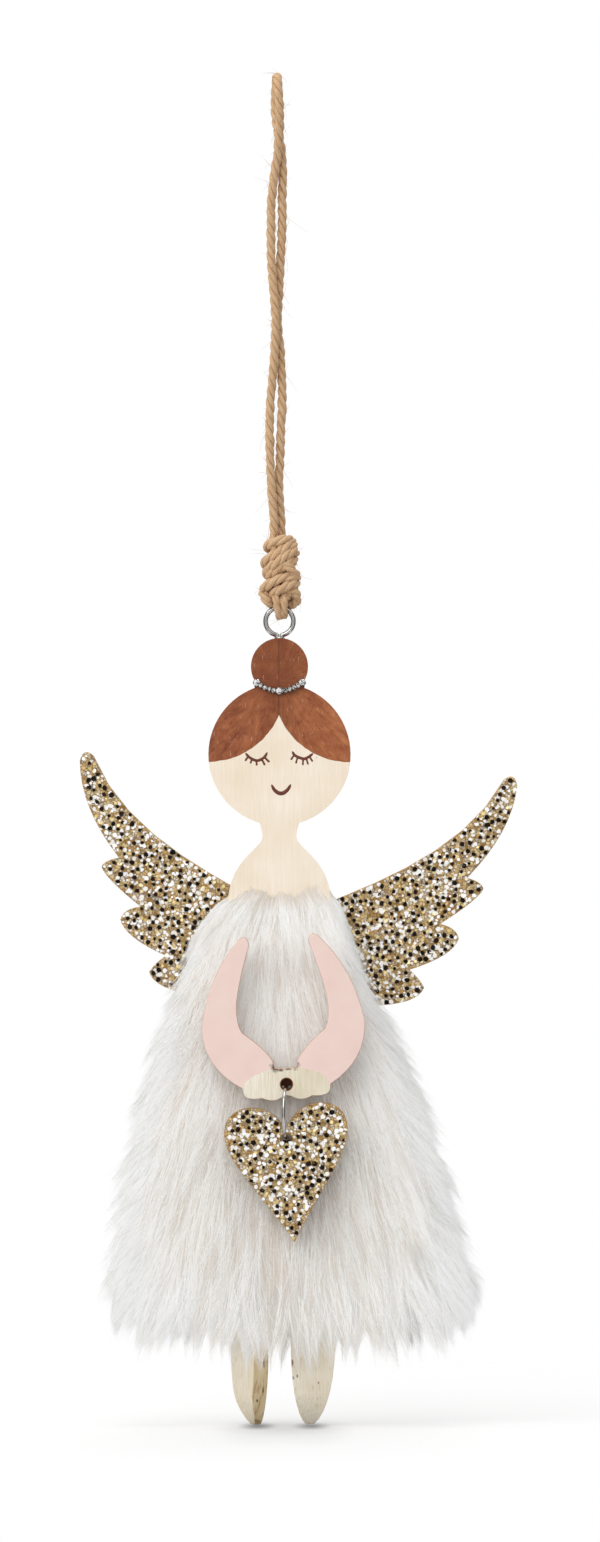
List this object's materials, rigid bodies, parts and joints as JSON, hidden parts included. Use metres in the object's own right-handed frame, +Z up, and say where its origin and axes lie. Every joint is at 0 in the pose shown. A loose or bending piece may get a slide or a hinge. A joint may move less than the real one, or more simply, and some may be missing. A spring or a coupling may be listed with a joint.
{
  "type": "hanging angel ornament",
  "caption": "Flat wooden angel ornament in a fur dress, with glittered wings, a glittered heart on a ring, dangling legs and a jute loop to hang it by.",
  "frame": {"origin": "inside top of the twine's hanging loop, where it lies on a hook", "axes": "+Z up, the face looks along -Y, +X to the right in the front view"},
  "size_m": [0.1226, 0.0442, 0.3785],
  "materials": {
    "jute_twine": "three-ply twisted jute with loose fibres",
    "plated_steel": "bright nickel plating",
    "body_plywood": "pale plywood, hair painted brown and the face drawn in brown",
    "cup_metal": "aged silver cup chain",
    "cut_glass": "faceted clear stones with a foiled back",
    "wing_plywood": "plywood with browned laser-cut edges",
    "glitter": "champagne hexagon glitter with gold, white and near-black flakes",
    "fur_fabric": "long off-white pile",
    "hot_glue": "hot-melt glue",
    "arms_plywood": "plywood, sleeves painted pale pink and hands bare",
    "leg_plywood": "bare plywood with browned laser-cut edges"
  },
  "bodies": {
    "twine_loop": {"hanging_cord": "jute_twine"},
    "knot": {"cord_knot": "jute_twine"},
    "figure": {"screw_eye": "plated_steel", "body_board": "body_plywood", "stone_cups": "cup_metal", "rhinestones": "cut_glass", "wing_panel": "wing_plywood", "left_wing_glitter": "glitter", "right_wing_glitter": "glitter", "fur_dress": "fur_fabric", "left_glue_pad": "hot_glue", "right_glue_pad": "hot_glue", "arms_board": "arms_plywood"},
    "heart_link": {"heart_ring": "plated_steel"},
    "heart": {"heart_board": "wing_plywood", "heart_glitter": "glitter"},
    "left_leg_link": {"left_leg_ring": "plated_steel"},
    "left_leg": {"left_leg": "leg_plywood"},
    "right_leg_link": {"right_leg_ring": "plated_steel"},
    "right_leg": {"right_leg": "leg_plywood"}
  },
  "joints": [
    {"name": "twine_twist", "type": "hinge", "parent": "twine_loop", "child": "knot", "pos_m": [0, 0, -0.1274], "axis": [0, 0, 1], "range_deg": [-150, 150], "stiffness_Nm_per_rad": 0.0004},
    {"name": "figure_swing", "type": "hinge", "parent": "knot", "child": "figure", "pos_m": [0, 0, -0.1471], "axis": [1, 0, 0], "range_deg": [-35, 35]},
    {"name": "heart_sway", "type": "hinge", "parent": "figure", "child": "heart_link", "pos_m": [0.002, -0.017, -0.2801], "axis": [0, 1, 0], "range_deg": [-5, 5]},
    {"name": "heart_tilt", "type": "hinge", "parent": "heart_link", "child": "heart", "pos_m": [0.002, -0.017, -0.28787], "axis": [-1, 0, 0], "range_deg": [-1.5, 30]},
    {"name": "left_leg_turn", "type": "hinge", "parent": "figure", "child": "left_leg_link", "pos_m": [-0.00835, 0, -0.3303], "axis": [0, 0, 1], "range_deg": [0, 50]},
    {"name": "left_leg_swing", "type": "hinge", "parent": "left_leg_link", "child": "left_leg", "pos_m": [-0.00835, 0, -0.33582], "axis": [0.8788, -0.4772, 0], "range_deg": [-15, 15]},
    {"name": "right_leg_turn", "type": "hinge", "parent": "figure", "child": "right_leg_link", "pos_m": [0.00935, 0, -0.32865], "axis": [0, 0, 1], "range_deg": [-15, 15]},
    {"name": "right_leg_swing", "type": "hinge", "parent": "right_leg_link", "child": "right_leg", "pos_m": [0.00935, 0, -0.33499], "axis": [1, 0, 0], "range_deg": [-20, 20]}
  ]
}
